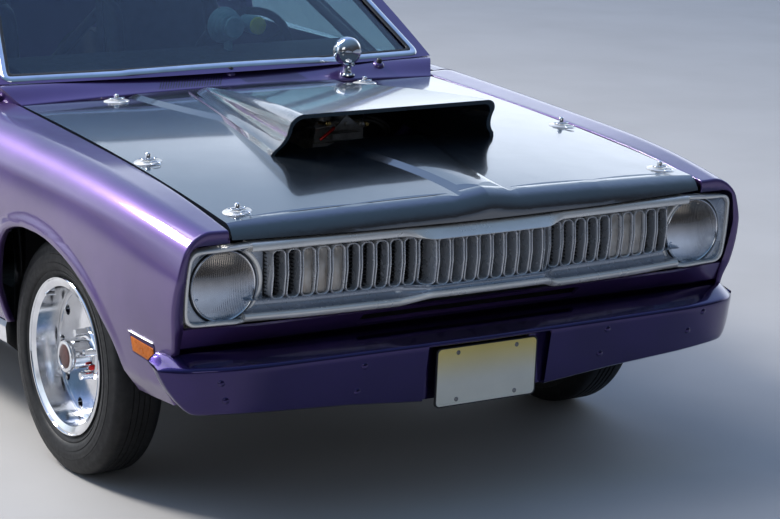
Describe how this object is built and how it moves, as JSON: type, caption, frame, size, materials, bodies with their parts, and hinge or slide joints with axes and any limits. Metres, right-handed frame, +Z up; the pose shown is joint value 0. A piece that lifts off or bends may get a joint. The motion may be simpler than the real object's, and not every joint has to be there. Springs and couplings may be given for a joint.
{
  "type": "drag racing car",
  "caption": "Two-door fastback coupe set up for drag racing, with opening doors and deck lid, a lift-off hood with a large scoop, steering front wheels and wide rear wheels.",
  "frame": {"origin": "on the road, below the middle of the whole car's box", "axes": "+Y towards the tail, +X towards the car's own left side, +Z up"},
  "size_m": [1.819, 4.785, 1.313],
  "materials": {
    "body_paint": "purple metallic, glossy",
    "hood_paint": "satin black",
    "structure": "satin black underbody",
    "inner_paint": "purple, dull",
    "chrome": "bright plated",
    "argent": "silver paint",
    "clear_glass": "clear, lightly tinted",
    "lamp_glass": "clear, fluted",
    "amber_lens": "amber lens",
    "red_lens": "red lens",
    "plate": "pale yellow, blank",
    "polished": "polished",
    "cast": "painted dark",
    "carburettor_metal": "dull cast",
    "tyre": "matt",
    "steel": "dull",
    "cage": "black",
    "seat": "black trim",
    "dash": "black"
  },
  "bodies": {
    "body": {"roof_panel": "body_paint", "windshield": "clear_glass", "backlight": "clear_glass", "quarter_glass": "clear_glass", "front_fenders": "body_paint", "marker_lamps": "amber_lens", "quarter_panels": "body_paint", "headlamp_bezels": "chrome", "headlamps": "lamp_glass", "grille": "argent", "front_bumper": "body_paint", "licence_plate": "plate", "front_valance": "body_paint", "hood_pins": "chrome", "cowl_panel": "body_paint", "inner_fenders": "inner_paint", "radiator_support": "structure", "floor_pan": "structure", "rocker_sills": "chrome", "chassis_rails": "structure", "rear_tubs": "structure", "tail_panel": "body_paint", "upper_deck_panel": "body_paint", "tail_lamps": "red_lens", "rear_bumper": "body_paint", "engine_block": "cast", "carburettor": "carburettor_metal", "roll_cage": "cage", "seats": "seat", "dashboard": "dash", "cowl_gauge": "chrome", "tachometer": "dash", "exhaust": "steel", "fuel_cell": "polished", "rear_axle": "cast", "rear_springs": "steel", "front_suspension": "structure"},
    "hood": {"hood": "hood_paint"},
    "door_left": {"door_left": "body_paint", "door_glass_left": "clear_glass"},
    "door_right": {"door_right": "body_paint", "door_glass_right": "clear_glass"},
    "deck_lid": {"deck_lid": "body_paint"},
    "steering_wheel": {"steering_wheel": "dash"},
    "knuckle_left": {"knuckle_left": "cast"},
    "knuckle_right": {"knuckle_right": "cast"},
    "wheel_front_left": {"rim_front_left": "polished", "tyre_front_left": "tyre"},
    "wheel_front_right": {"rim_front_right": "polished", "tyre_front_right": "tyre"},
    "wheel_rear_left": {"rim_rear_left": "polished", "tyre_rear_left": "tyre"},
    "wheel_rear_right": {"rim_rear_right": "polished", "tyre_rear_right": "tyre"}
  },
  "joints": [
    {"name": "hood_lift_off", "type": "slide", "parent": "body", "child": "hood", "axis": [0, 0, 1], "range_m": [0, 0.35]},
    {"name": "door_left_hinge", "type": "hinge", "parent": "body", "child": "door_left", "pos_m": [0.912, -0.9915, 0.578], "axis": [0, 0, -1], "range_deg": [0, 65]},
    {"name": "door_right_hinge", "type": "hinge", "parent": "body", "child": "door_right", "pos_m": [-0.912, -0.9915, 0.578], "axis": [0, 0, 1], "range_deg": [0, 65]},
    {"name": "deck_lid_hinge", "type": "hinge", "parent": "body", "child": "deck_lid", "pos_m": [0, 1.3055, 0.943], "axis": [1, 0, 0], "range_deg": [0, 70]},
    {"name": "steer_left", "type": "hinge", "parent": "body", "child": "knuckle_left", "pos_m": [0.716, -1.6275, 0.315], "axis": [0, 0, 1], "range_deg": [-28, 28]},
    {"name": "steer_right", "type": "hinge", "parent": "body", "child": "knuckle_right", "pos_m": [-0.716, -1.6275, 0.315], "axis": [0, 0, 1], "range_deg": [-28, 28]},
    {"name": "steering_column", "type": "hinge", "parent": "body", "child": "steering_wheel", "pos_m": [0.365, -0.4275, 0.858], "axis": [0, 0.9397, 0.342], "range_deg": [-450, 450]},
    {"name": "front_left_spin", "type": "hinge", "parent": "knuckle_left", "child": "wheel_front_left", "pos_m": [0.76, -1.6275, 0.315], "axis": [1, 0, 0], "continuous": true},
    {"name": "front_right_spin", "type": "hinge", "parent": "knuckle_right", "child": "wheel_front_right", "pos_m": [-0.76, -1.6275, 0.315], "axis": [1, 0, 0], "continuous": true},
    {"name": "rear_left_spin", "type": "hinge", "parent": "body", "child": "wheel_rear_left", "pos_m": [0.742, 1.1155, 0.345], "axis": [1, 0, 0], "continuous": true},
    {"name": "rear_right_spin", "type": "hinge", "parent": "body", "child": "wheel_rear_right", "pos_m": [-0.742, 1.1155, 0.345], "axis": [1, 0, 0], "continuous": true}
  ],
  "couplings": [
    {"joint": "steer_right", "follows": "steer_left", "ratio": 1},
    {"joint": "steering_column", "follows": "steer_left", "ratio": 16}
  ]
}
